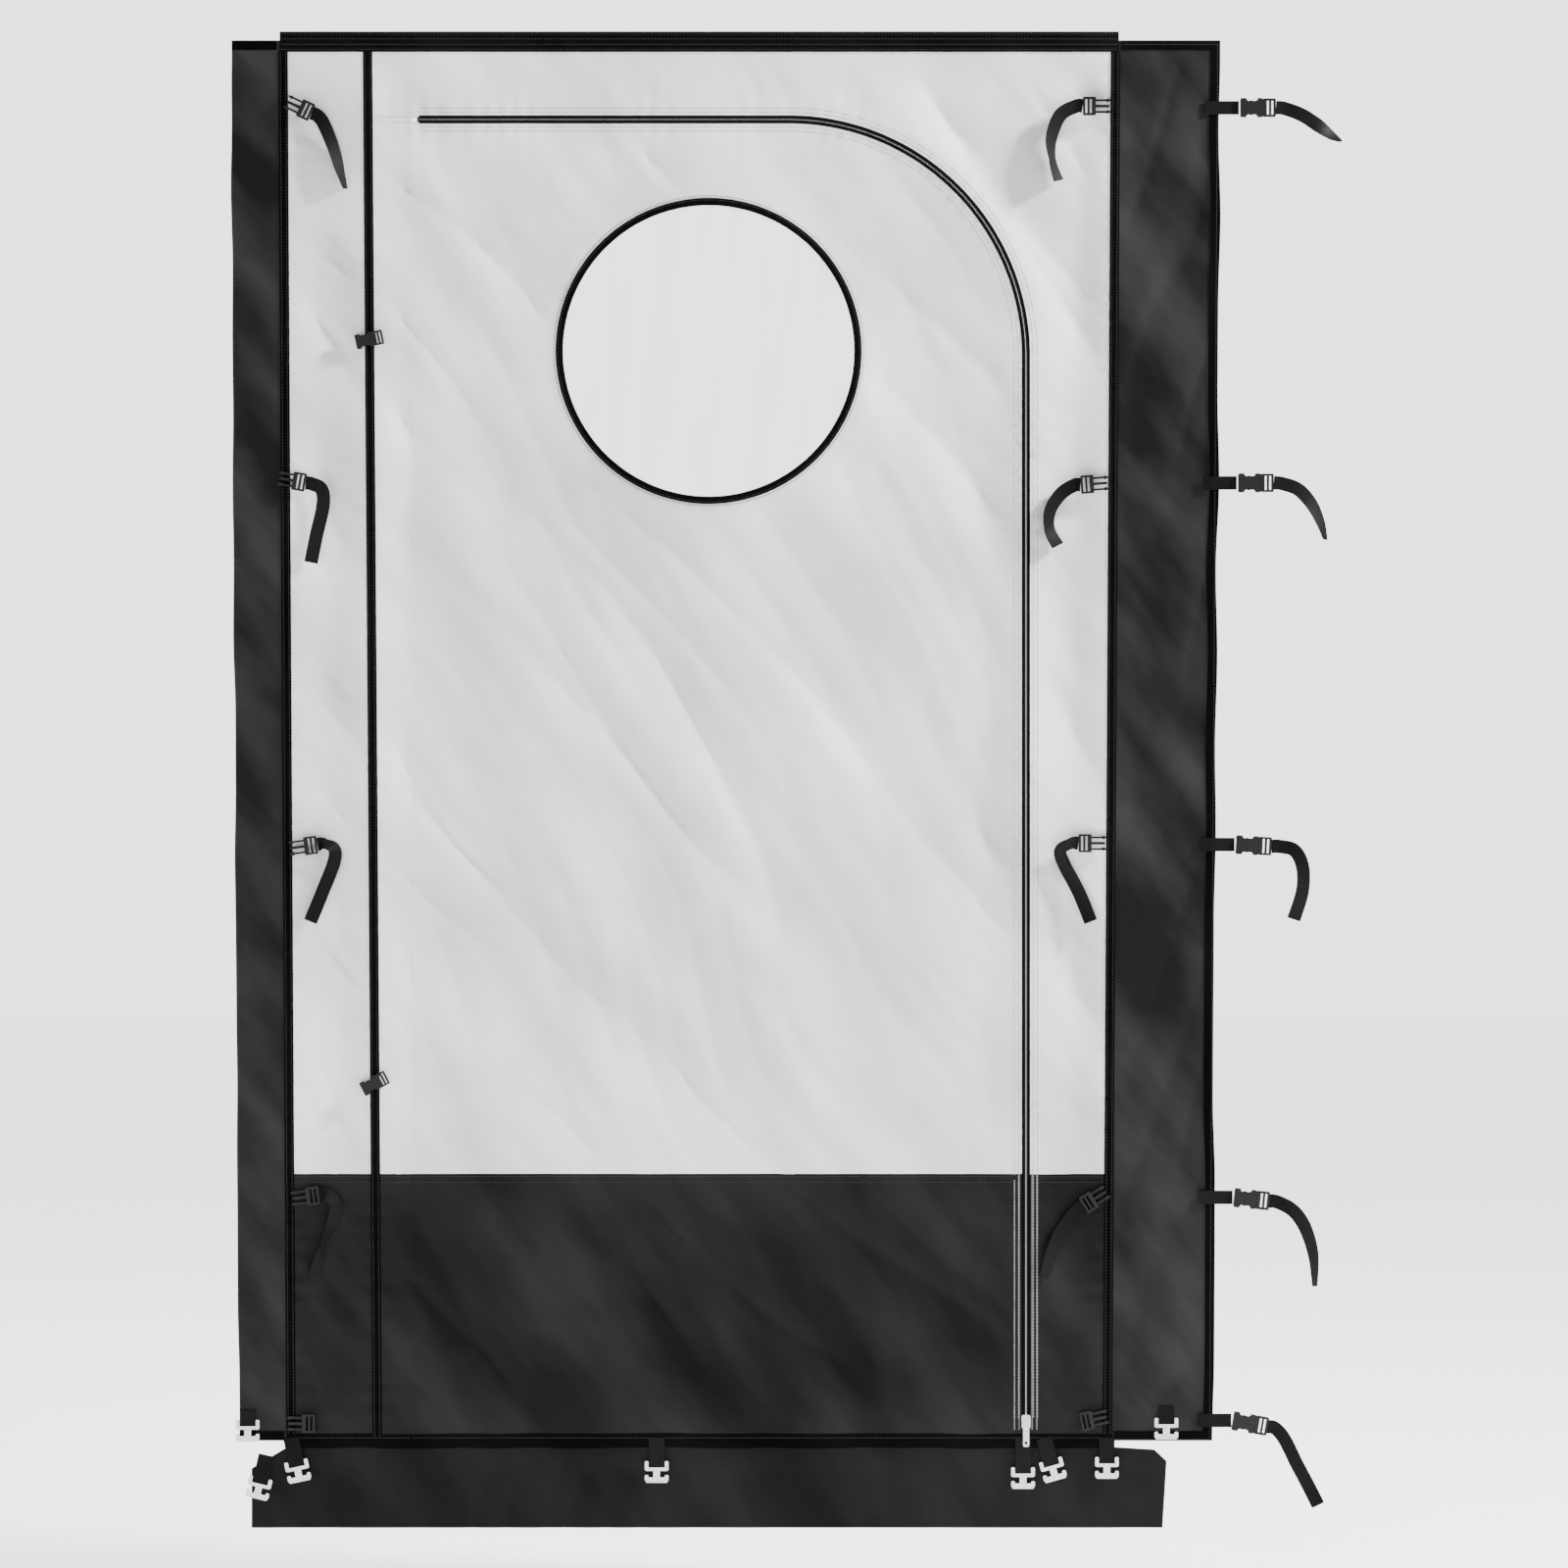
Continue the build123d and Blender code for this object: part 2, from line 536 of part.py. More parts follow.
# name, tab's top x and z, tab length down to the hook's horn tips, tilt, carrier
HOOK_SITES = [
    ("left_wing", -668.0, -2024.0, 15.0, 0, "left_wing"),
    ("left_corner", -641.0, -2092.0, 34.0, -13, "flap"),
    ("left_seam", -604.0, -2066.0, 34.0, 12, "panel"),
    ("door_middle", -63.0, -2066.0, 34.0, 0, "door"),
    ("door_corner", 479.0, -2064.0, 45.0, 0, "door"),
    ("zip_side", 510.0, -2066.0, 33.0, 16, "panel"),
    ("right_seam", 603.0, -2066.0, 28.0, 0, "panel"),
    ("right_wing", 691.0, -2019.0, 17.0, 0, "right_wing"),
]
CARRIER_FRONT = {"left_wing": TAPE_FRONT, "panel": TAPE_FRONT, "door": TAPE_FRONT,
                 "right_wing": TAPE_FRONT, "flap": FLAP_FRONT}
for carrier, face in CARRIER_FRONT.items():
    with BuildPart() as tabs:
        for name, x, z, length, tilt, owner in HOOK_SITES:
            if owner != carrier:
                continue
            drop = length + BAR_DROP - TAB_END_GAP
            with BuildSketch(Plane(tilted(x, z, tilt, face) * Plane.XZ.location)):
                with Locations((0, -drop / 2)):
                    Rectangle(TAB_WIDTH - 2, drop)
            extrude(amount=WEBBING)
    save(tabs.part, f"{carrier}_hook_tabs")
for name, x, z, length, tilt, owner in HOOK_SITES:
    spot = along(x, z, tilt - 90, length)
    place(HOOK, [tilted(*spot, tilt, CARRIER_FRONT[owner] + HOOK_LIFT)], f"{name}_hook")
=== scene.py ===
"""Looks of the shelter door wall: wrinkled cloth, bindings, stitching, straps and metal."""

import json
import math

import bmesh
import bpy
import numpy as np
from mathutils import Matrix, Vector
from mathutils.geometry import delaunay_2d_cdt


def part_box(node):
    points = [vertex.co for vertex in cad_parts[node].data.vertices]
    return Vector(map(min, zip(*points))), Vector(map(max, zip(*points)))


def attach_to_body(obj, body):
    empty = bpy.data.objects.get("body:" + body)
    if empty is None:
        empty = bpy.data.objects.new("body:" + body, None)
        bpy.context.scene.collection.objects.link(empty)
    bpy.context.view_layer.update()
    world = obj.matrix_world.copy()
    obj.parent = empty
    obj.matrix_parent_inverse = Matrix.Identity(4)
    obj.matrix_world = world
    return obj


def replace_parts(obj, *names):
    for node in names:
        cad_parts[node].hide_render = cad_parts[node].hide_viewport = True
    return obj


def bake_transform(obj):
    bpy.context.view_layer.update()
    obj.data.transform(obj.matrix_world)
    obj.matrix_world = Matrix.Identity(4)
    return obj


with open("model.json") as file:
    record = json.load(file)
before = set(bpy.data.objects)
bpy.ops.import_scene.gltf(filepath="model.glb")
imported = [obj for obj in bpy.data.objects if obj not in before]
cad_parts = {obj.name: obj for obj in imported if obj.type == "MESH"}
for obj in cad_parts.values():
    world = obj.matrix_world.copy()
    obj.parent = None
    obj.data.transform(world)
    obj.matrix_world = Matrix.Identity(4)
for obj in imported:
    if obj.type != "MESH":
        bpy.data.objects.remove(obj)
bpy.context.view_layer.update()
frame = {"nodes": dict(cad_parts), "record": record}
record = frame["record"]
nodes = frame["nodes"]
BODY_OF = {n: body for body, members in record["behaviour"]["bodies"].items() for n in members}
SLOT_OF = {s["node"]: s["material_slot"] for s in record["subparts"]}
MM = 0.001

# ---- lines of the wall that hold the cloth, in metres ---------------------------------
TOP_Z = 0.0
CLOTH_FOOT = -2.070
KICK_Z = -1.676                   # where the light cloth meets the dark cloth
DOOR_FOLD = -0.424                # x of the door's fold line
ZIP_X = 0.4835                    # the zip's upright run
ZIP_TOP = -0.115                  # z of its level run
ARC_X, ARC_Z, ARC_R = 0.1335, -0.465, 0.350
WINDOW_X, WINDOW_Z, WINDOW_R = 0.0138, -0.4575, 0.2265
WING_WIDTH = 0.155                # of the right wing, from its seam
OUTER_FOLD = -0.692               # x of the left wing's own fold at the top
OUTER_FOLD_LEAN = 0.0058          # that fold moves this far in x for each metre down


def seam_x(z):
    """Distance of the leaning leg seams from the middle."""
    return 0.616 + 0.012 * z / -CLOTH_FOOT


def tape_x(z):
    """The leaning tape beside the door's fold."""
    return -0.491 - 0.0145 * z / -CLOTH_FOOT


# ---- smooth noise ---------------------------------------------------------------------
def lattice(i, j, seed):
    """Pseudo-random value from -1 to 1 for whole-number grid points."""
    n = np.sin(i * 127.1 + j * 311.7 + seed * 74.7) * 43758.5453
    return 2 * (n - np.floor(n)) - 1


def noise(u, v, seed):
    """Smooth noise from -1 to 1."""
    i, j = np.floor(u), np.floor(v)
    a, b = u - i, v - j
    a, b = a * a * (3 - 2 * a), b * b * (3 - 2 * b)
    low = lattice(i, j, seed) * (1 - a) + lattice(i + 1, j, seed) * a
    high = lattice(i, j + 1, seed) * (1 - a) + lattice(i + 1, j + 1, seed) * a
    return low * (1 - b) + high * b


def ramp(d, start, end):
    """Rises smoothly from 0 at the start to 1 at the end."""
    t = np.clip((d - start) / (end - start), 0, 1)
    return t * t * (3 - 2 * t)


def zip_distance(x, z):
    """Distance to the zip's line and the place along it."""
    across, up = x - ARC_X, z - ARC_Z
    turn = np.arctan2(up, across)
    on_arc = (across > 0) & (up > 0)
    on_top = (across <= 0) & (up > 0)
    d = np.where(on_arc, np.abs(np.hypot(across, up) - ARC_R),
                 np.where(on_top, np.abs(z - ZIP_TOP), np.abs(x - ZIP_X)))
    s = np.where(on_arc, ARC_R * turn, np.where(on_top, ARC_R * math.pi / 2 - across, up))
    return np.where(x < DOOR_FOLD, np.hypot(x - DOOR_FOLD, up + ARC_Z - ZIP_TOP), d), s


# each set of wrinkles: angle in degrees, width and length of one in metres, seed, sharpness, height in mm
WALL_WRINKLES = [(-55, 0.13, 0.75, 3, 3, 8.5), (-46, 0.085, 0.55, 11, 3, 5.0), (-62, 0.045, 0.35, 23, 2, 2.6)]
WING_WRINKLES = (72, 0.05, 0.30, 31, 3, 2.6)
FLAP_WRINKLES = (80, 0.06, 0.2, 71, 2, 2.5)


def wrinkles(x, z, degrees, width, length, seed, sharpness, height):
    """Ridges stretched along a direction, from 0 to their height."""
    angle = math.radians(degrees)
    c, s = math.cos(angle), math.sin(angle)
    bend = 0.05 * noise(x / 0.4, z / 0.4, seed + 9)
    u = (-x * s + z * c + bend) / width
    v = (x * c + z * s) / length
    return height * (1 - np.abs(noise(u, v, seed))) ** sharpness


def pucker(d, s, pitch, reach, seed):
    """Short ripples that run square to a line of stitching."""
    wave = np.sin(2 * math.pi * s / pitch + 3 * noise(s / (3 * pitch), s * 0, seed))
    return wave * np.exp(-d / reach) * (0.6 + 0.4 * noise(s / 0.05, s * 0, seed + 1))


def lift(x, z):
    """How far the cloth stands behind its flat plane, in metres."""
    x, z = np.asarray(x, float), np.asarray(z, float)
    seam_d = np.abs(np.abs(x) - seam_x(z))
    tape_d = np.abs(x - tape_x(z))
    zip_d, zip_s = zip_distance(x, z)
    ring = np.hypot(x - WINDOW_X, z - WINDOW_Z)
    ring_d = np.abs(ring - WINDOW_R)
    ring_s = WINDOW_R * np.arctan2(z - WINDOW_Z, x - WINDOW_X)
    foot_d, top_d, kick_d = z - CLOTH_FOOT, TOP_Z - z, np.abs(z - KICK_Z)
    inside = np.abs(x) < seam_x(z)
    swell = 0.5 + 0.5 * noise(x / 0.33, z / 0.45, 5)

    # the wall between the seams hangs free away from what holds it
    free = ramp(np.minimum(seam_d, tape_d), 0.0, 0.06) * ramp(zip_d, 0.0, 0.07)
    free = free * ramp(foot_d, 0.02, 0.16) * ramp(top_d, 0.0, 0.12)
    free = free * (0.35 + 0.65 * ramp(ring_d, 0.0, 0.09)) * (0.55 + 0.45 * ramp(kick_d, 0.0, 0.10))
    wall = free * (3.0 * swell + sum(wrinkles(x, z, *row) for row in WALL_WRINKLES))
    wall = wall * (0.25 + 0.75 * ramp(ring, WINDOW_R, WINDOW_R + 0.04))       # the film is stretched

    # the wings outside the seams, the left one nearly flat because it is folded
    wing = ramp(seam_d, 0.0, 0.04) * ramp(foot_d, 0.0, 0.10)
    edge_d = np.abs(seam_x(z) + WING_WIDTH - x)
    wing = wing * np.where(x > 0, ramp(edge_d, 0.0, 0.03) * ramp(top_d, 0, 0.06), 0.18)
    wing = wing * (wrinkles(x, z, *WING_WRINKLES) + 1.8 * swell)

    flap = ramp(-foot_d, 0.012, 0.05) * (wrinkles(x, z, *FLAP_WRINKLES) + 1.5 * swell)

    # each line of stitching: distance, place along it, pitch, reach and seed of its puckers, height in mm
    sewn = [
        (seam_d, z, 0.027, 0.028, 41, 1.5),
        (tape_d, z, 0.029, 0.024, 43, 1.2),
        (ring_d, ring_s, 0.019, 0.020, 53, 0.9),
        (kick_d, x, 0.021, 0.015, 59, 0.6),
        (np.abs(top_d - 0.015), x, 0.014, 0.016, 61, 0.35),
    ]
    ripple = inside * sum(height * pucker(*line) for *line, height in sewn)
    beside_zip = ramp(foot_d, 0.05, 0.2) * ramp(zip_d, 0.006, 0.014)
    ripple = ripple + 1.7 * pucker(zip_d, zip_s, 0.024, 0.026, 47) * beside_zip
    held = ramp(foot_d, -0.02, 0.05)
    return (np.where(inside, wall, wing) + flap + ripple * held) * MM


def sway(x, z):
    """Small waves of loose edges within the cloth's own plane, across and up."""
    foot_d, top_d = z - CLOTH_FOOT, TOP_Z - z
    left = -ramp(-x, 0.64, 0.69) * ramp(foot_d, 0.05, 0.12) * ramp(top_d, 0.02, 0.10)
    right = ramp(x, 0.65, 0.76) * ramp(foot_d, 0.0, 0.12) * ramp(top_d, 0.0, 0.10)
    hem = ramp(-foot_d, -0.03, 0.0) * ramp(foot_d + 0.03, 0.0, 0.015) * (np.abs(x) < 0.60)
    across = left * (0.5 + 0.5 * noise(z / 0.11, x * 0, 81)) * 3 + right * noise(z / 0.13, x * 0, 85) * 2.4
    return across * MM, hem * noise(x / 0.05, z * 0, 83) * 1.6 * MM


# ---- cloth from the flat CAD pieces --------------------------------------------------
def front_edges(node):
    """Boundary edges of a flat CAD piece's outer face, and its front and back y."""
    low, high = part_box(node)
    shape = bmesh.new()
    shape.from_mesh(nodes[node].data)
    bmesh.ops.remove_doubles(shape, verts=shape.verts, dist=0.005 * MM)
    faces = {f for f in shape.faces
             if f.normal.y < -0.9 and max(v.co.y for v in f.verts) < low.y + 0.1 * MM}
    edges = [tuple((round(v.co.x, 7), round(v.co.z, 7)) for v in e.verts)
             for e in shape.edges if len(faces.intersection(e.link_faces)) == 1]
    shape.free()
    return edges, low.y, high.y


def inside_edges(px, pz, edges):
    """Even-odd test of points against the boundary edges."""
    odd = np.zeros(len(px), bool)
    for (ax, az), (bx, bz) in edges:
        cross = (az > pz) != (bz > pz)
        odd ^= cross & (px < ax + (bx - ax) * (pz - az) / ((bz - az) or 1e-12))
    return odd


def near_edges(px, pz, edges, reach):
    """Which points lie within reach of the boundary edges."""
    near = np.zeros(len(px), bool)
    for (ax, az), (bx, bz) in edges:
        dx, dz = bx - ax, bz - az
        t = np.clip(((px - ax) * dx + (pz - az) * dz) / (dx * dx + dz * dz), 0, 1)
        near |= np.hypot(px - ax - t * dx, pz - az - t * dz) < reach
    return near


def points_between(a, b, n):
    """Points from a to b in n equal steps."""
    return [(a[0] + (b[0] - a[0]) * k / n, a[1] + (b[1] - a[1]) * k / n) for k in range(n + 1)]


def doubled_areas(co, tris):
    """Twice the area of each triangle, negative where it runs clockwise."""
    a, b, c = co[tris[:, 0]], co[tris[:, 1]], co[tris[:, 2]]
    return (b[:, 0] - a[:, 0]) * (c[:, 1] - a[:, 1]) - (b[:, 1] - a[:, 1]) * (c[:, 0] - a[:, 0])


SLIVER = 4e-9                     # square metres, twice the area of the largest triangle left out
ROW = 0.87                        # distance between rows of an even triangle mesh, in steps


def triangles(edges, step):
    """Even mesh of the area inside the edges: points and triangles."""
    index, points, rim = {}, [], []

    def at(x, z):
        key = (round(x, 7), round(z, 7))
        if key not in index:
            index[key] = len(points)
            points.append(key)
        return index[key]

    for a, b in edges:
        n = max(1, math.ceil(math.dist(a, b) / step))
        chain = [at(*point) for point in points_between(a, b, n)]
        rim += list(zip(chain, chain[1:]))
    rx, rz = np.array(points).T
    gx, gz = np.meshgrid(np.arange(rx.min(), rx.max(), step), np.arange(rz.min(), rz.max(), step * ROW))
    gx = gx + (np.arange(gx.shape[0]) % 2)[:, None] * step / 2
    gx, gz = gx.ravel(), gz.ravel()
    keep = inside_edges(gx, gz, edges)
    gx, gz = gx[keep], gz[keep]
    keep = ~near_edges(gx, gz, edges, step * 0.5)
    points += list(zip(gx[keep], gz[keep]))
    co, _, tris, *_ = delaunay_2d_cdt(points, rim, [], 0, 1e-7)
    co = np.array([(c[0], c[1]) for c in co])
    tris = np.array(tris)
    mid = co[tris].mean(axis=1)
    tris = tris[inside_edges(mid[:, 0], mid[:, 1], edges) & (np.abs(doubled_areas(co, tris)) > SLIVER)]
    used, tris = np.unique(tris, return_inverse=True)
    return co[used], tris.reshape(-1, 3)


def add_mesh(name, co, faces, sharp_degrees=None):
    """New object, shaded smooth up to the sharp angle where one is given."""
    mesh = bpy.data.meshes.new(name)
    mesh.from_pydata(co.tolist(), [], [[int(i) for i in face] for face in faces])
    mesh.update()
    if sharp_degrees:
        mesh.shade_smooth()
        mesh.set_sharp_from_angle(angle=math.radians(sharp_degrees))
    obj = bpy.data.objects.new(name, mesh)
    bpy.context.scene.collection.objects.link(obj)
    return obj


def solid(name, front, back, tris):
    """Closed mesh between two matching sheets of points."""
    n = len(front)
    faces = [tuple(t) for t in tris] + [tuple(n + i for i in reversed(t)) for t in tris]
    turns = [(t[i], t[(i + 1) % 3]) for t in tris for i in range(3)]
    taken = set(turns)
    faces += [(b, a, n + a, n + b) for a, b in turns if (b, a) not in taken]
    return add_mesh(name, np.vstack([front, back]), faces, 50)


def facing_front(co, tris):
    """Triangles turned so that their normals point to -Y."""
    clockwise = doubled_areas(co, tris) < 0
    turned = tris.copy()
    turned[clockwise] = tris[clockwise][:, ::-1]
    return turned


def at_depth(co, y):
    """Points in space from (x, z) points and their depth."""
    return np.column_stack([co[:, 0], y, co[:, 1]])


FOLD_GAP = 1.7 * MM               # the door's cloth reaches this far past its fold, onto the fixed cloth
RIM = 0.2 * MM                    # points this near a piece's foot or top belong to its rim
SEAM_BINDINGS = ("left_seam_binding", "right_seam_binding")
# panels whose top edge lies under the cloth above
LAPPED = ("hinge_side_panel", "zip_side_panel", "side_kick_panels", "door_kick_panel")


def cloth(node, step):
    """Wrinkled stand-in for a flat CAD piece."""
    edges, front_y, back_y = front_edges(node)
    co, tris = triangles(edges, step)
    tris = facing_front(co, tris)
    bump = lift(co[:, 0], co[:, 1])
    foot_rim = co[:, 1] < co[:, 1].min() + RIM
    top_rim = co[:, 1] > co[:, 1].max() - RIM
    if SLOT_OF[node] == "webbing":                    # short straps keep their place beside the hardware
        bump = 0.4 * MM * noise(co[:, 0] / 0.010, co[:, 1] / 0.013, 91)
    else:
        co = co + np.column_stack(sway(co[:, 0], co[:, 1]))
    if BODY_OF[node] == "door":
        co[:, 0] = np.where(co[:, 0] < DOOR_FOLD + 2 * MM, DOOR_FOLD - FOLD_GAP, co[:, 0])
    if node in SEAM_BINDINGS:
        co[foot_rim, 1] -= 20 * MM                    # down behind the hook tabs
    if node in LAPPED:
        co[top_rim, 1] += 0.5 * MM
        bump = bump - 0.05 * MM
    if node == "left_wing_outer_panel":               # its folded edge turns back onto the inner wing
        from_fold = co[:, 0] - OUTER_FOLD + OUTER_FOLD_LEAN * co[:, 1]
        bump = bump - 3.0 * MM * (1 - ramp(from_fold, 0.0, 0.010))
    obj = solid(node + "_cloth", at_depth(co, front_y + bump), at_depth(co, back_y + bump), tris)
    # the wings get their own dark cloth, lighter in its painted sheen patches
    obj.data.materials.append(MATERIALS["wing_sheen_fabric" if node in WING_NODES else SLOT_OF[node]])
    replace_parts(obj, node)
    return obj


# ---- materials ------------------------------------------------------------------------
LEAN = math.radians(-35)           # the folds lean this far from upright


class Paint:
    """A node material in the row frame's coordinates."""

    def __init__(self, name):
        self.material = bpy.data.materials.new(name)
        self.material.use_nodes = True
        self.nodes = self.material.node_tree.nodes
        self.links = self.material.node_tree.links
        self.shader = self.nodes["Principled BSDF"]
        self.coords = self.nodes.new("ShaderNodeTexCoord").outputs["Object"]

    def noise(self, scale, detail=3.0, stretch=(1, 1, 1), turn=0.0):
        """Noise texture, stretched along a direction that is turned about Y."""
        place = self.nodes.new("ShaderNodeMapping")
        place.vector_type = "TEXTURE"                     # turned first, then stretched
        place.inputs["Scale"].default_value = stretch
        place.inputs["Rotation"].default_value = (0, turn, 0)
        texture = self.nodes.new("ShaderNodeTexNoise")
        texture.inputs["Scale"].default_value = scale
        texture.inputs["Detail"].default_value = detail
        self.links.new(self.coords, place.inputs["Vector"])
        self.links.new(place.outputs["Vector"], texture.inputs["Vector"])
        return texture.outputs["Fac"]

    def colours(self, factor, dark, light, low=0.35, high=0.65):
        """Base colour from dark to light, following a texture."""
        band = self.nodes.new("ShaderNodeValToRGB")
        band.color_ramp.elements[0].position = low
        band.color_ramp.elements[1].position = high
        band.color_ramp.elements[0].color = (*dark, 1)
        band.color_ramp.elements[1].color = (*light, 1)
        self.links.new(factor, band.inputs["Fac"])
        self.links.new(band.outputs["Color"], self.shader.inputs["Base Color"])

    def bump(self, height, distance, strength=0.5):
        """Adds relief on top of any that the shader already has."""
        bump = self.nodes.new("ShaderNodeBump")
        bump.inputs["Distance"].default_value = distance
        bump.inputs["Strength"].default_value = strength
        self.links.new(height, bump.inputs["Height"])
        for other in self.shader.inputs["Normal"].links:
            self.links.new(other.from_socket, bump.inputs["Normal"])
        self.links.new(bump.outputs["Normal"], self.shader.inputs["Normal"])

    def set(self, **values):
        """Sets the shader's inputs by name."""
        for key, value in values.items():
            self.shader.inputs[key.replace("_", " ")].default_value = value


def woven(name, dark, light, roughness, thread, gloss=0.12, crease=0.0006, shade_and_sheen_scale=6.0):
    """Cloth or tape with painted shade and sheen in patches and creases along the folds, and a fine weave."""
    paint = Paint(name)
    # colour runs from painted fold shade to painted sheen, in patches stretched along the folds
    paint.colours(paint.noise(shade_and_sheen_scale, 3.5, (0.7, 1, 2.2), LEAN), dark, light, 0.38, 0.66)
    paint.set(Roughness=roughness, Specular_IOR_Level=gloss)
    paint.bump(paint.noise(22.0, 5.0, (1, 1, 2.8), LEAN), crease, 0.5)
    paint.bump(paint.noise(thread, 1.0, (1, 1, 1)), 0.0002, 0.35)
    return paint


def light_fabric():
    """Pale cloth that lets a little light through, with painted fold shade and painted satin highlights."""
    paint = woven("light_fabric", (0.60, 0.605, 0.61), (0.86, 0.86, 0.86), 0.36, 900.0, 0.7)
    through = paint.nodes.new("ShaderNodeBsdfTranslucent")
    through.inputs["Color"].default_value = (0.86, 0.86, 0.86, 1)
    mix = paint.nodes.new("ShaderNodeMixShader")
    mix.inputs["Fac"].default_value = 0.10
    output = paint.nodes["Material Output"]
    paint.links.new(paint.shader.outputs["BSDF"], mix.inputs[1])
    paint.links.new(through.outputs["BSDF"], mix.inputs[2])
    paint.links.new(mix.outputs["Shader"], output.inputs["Surface"])
    return paint.material


def clear_film():
    """Clear sheet with painted highlight streaks: upright white streaks where it is less clear."""
    paint = Paint("clear_film")
    paint.set(Base_Color=(0.97, 0.97, 0.98, 1), Roughness=0.12, IOR=1.45)
    highlight_streaks = paint.noise(14.0, 3.0, (0.55, 1, 4.5), 0.08)
    highlight_alpha = paint.nodes.new("ShaderNodeMapRange")
    for key, value in (("From Min", 0.48), ("From Max", 0.72), ("To Min", 0.05), ("To Max", 0.50)):
        highlight_alpha.inputs[key].default_value = value
    paint.links.new(highlight_streaks, highlight_alpha.inputs["Value"])
    paint.links.new(highlight_alpha.outputs["Result"], paint.shader.inputs["Alpha"])
    paint.bump(highlight_streaks, 0.002, 0.6)
    return paint.material


def plastic(name, colour, roughness, gloss):
    """Moulded plastic or thread."""
    paint = Paint(name)
    paint.colours(paint.noise(60.0, 3.0), tuple(0.8 * c for c in colour), colour)
    paint.set(Roughness=roughness, Specular_IOR_Level=gloss)
    paint.bump(paint.noise(1500.0, 2.0), 0.0001, 0.2)
    return paint.material


def metal(name, colour, roughness):
    """Bright metal with faint wear."""
    paint = Paint(name)
    paint.colours(paint.noise(90.0, 4.0), tuple(0.85 * c for c in colour), colour)
    paint.set(Metallic=1.0, Roughness=roughness)
    paint.bump(paint.noise(700.0, 3.0), 0.0001, 0.25)
    return paint.material


BLACK = (0.0006, 0.0006, 0.0008)
NEAR_BLACK = (0.001, 0.001, 0.001)
FOLD_SHADE = (0.0015, 0.0015, 0.002)
SHEEN = (0.002, 0.002, 0.0022)
DARK_PLASTIC = (0.004, 0.004, 0.0045)

# each woven material: colour in painted fold shade and in painted sheen, roughness, threads, gloss, creases,
# scale of the painted shade and sheen patches
WOVEN = {
    "hem_tape": (NEAR_BLACK, (0.003, 0.003, 0.003), 0.7, 1200.0, 0.03),
    "dark_fabric": (FOLD_SHADE, (0.011, 0.011, 0.012), 0.5, 1000.0, 0.10),
    # the wings' dark cloth, with brighter painted sheen patches
    "wing_sheen_fabric": (FOLD_SHADE, (0.018, 0.018, 0.019), 0.5, 1000.0, 0.12, 0.0008, 7.0),
    "flap_fabric": (NEAR_BLACK, (0.007, 0.007, 0.008), 0.5, 1000.0, 0.08),
    "binding": (BLACK, SHEEN, 0.7, 1600.0, 0.025, 0.0002),
    "zip_tape": (BLACK, SHEEN, 0.75, 1600.0, 0.02, 0.0002),
    "webbing": ((0.001, 0.001, 0.0012), (0.005, 0.005, 0.0055), 0.6, 1500.0, 0.08, 0.0003),
}
MATERIALS = {name: woven(name, *values).material for name, values in WOVEN.items()}
MATERIALS |= {
    "light_fabric": light_fabric(),
    "clear_film": clear_film(),
    "zip_coil": plastic("zip_coil", DARK_PLASTIC, 0.5, 0.12),
    "buckle": plastic("buckle", DARK_PLASTIC, 0.45, 0.22),
    "hook_metal": metal("hook_metal", (0.60, 0.60, 0.62), 0.27),
    "zip_metal": metal("zip_metal", (0.56, 0.56, 0.58), 0.30),
    "thread": plastic("thread", (0.16, 0.16, 0.165), 0.7, 0.2),
    "dark_thread": plastic("dark_thread", (0.020, 0.020, 0.022), 0.7, 0.2),
    "mid_thread": plastic("mid_thread", (0.36, 0.36, 0.37), 0.7, 0.2),
}
WING_NODES = ("right_wing_panel", "left_wing_inner_panel", "left_wing_outer_panel")

for node, obj in nodes.items():
    obj.data.materials.clear()
    obj.data.materials.append(MATERIALS[SLOT_OF[node]])

# ---- cloth panels ---------------------------------------------------------------------
# the soft CAD pieces, each with the step of its mesh in millimetres
STEPS = {
    "top_hem_tape": 7, "header_panel": 8, "hinge_side_panel": 8, "zip_side_panel": 8, "door_panel": 9,
    "side_kick_panels": 8, "door_kick_panel": 9, "right_wing_panel": 8, "left_wing_inner_panel": 8,
    "left_wing_outer_panel": 8, "mud_flap": 8, "left_seam_binding": 5, "right_seam_binding": 5,
    "door_edge_tape": 5, "fixed_hems": 6, "door_hem": 6, "window_binding": 5, "right_wing_binding": 5,
    "left_wing_inner_binding": 5, "left_wing_outer_binding": 5, "zip_tape_frame": 6, "zip_tape_door": 6,
    "zip_teeth_frame": 5, "zip_teeth_door": 5, "window_film": 8,
    "right_edge_anchors": 3, "panel_hook_tabs": 3, "door_hook_tabs": 3, "right_wing_hook_tabs": 3,
    "left_wing_hook_tabs": 3, "flap_hook_tabs": 3, "left_edge_tails": 4,
}
pieces = {node: cloth(node, step * MM) for node, step in STEPS.items()}


def attach(piece, body):
    """Parents a soft piece to its body's empty; on the door and the wings it only bakes the piece's
    transform.
    """
    if body == "door":
        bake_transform(piece)
    elif body == "right_wing":
        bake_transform(piece)
    elif body == "left_wing":
        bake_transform(piece)
    elif body == "left_wing_outer":
        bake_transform(piece)
    else:
        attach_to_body(piece, body)


for node, piece in pieces.items():
    attach(piece, BODY_OF[node])


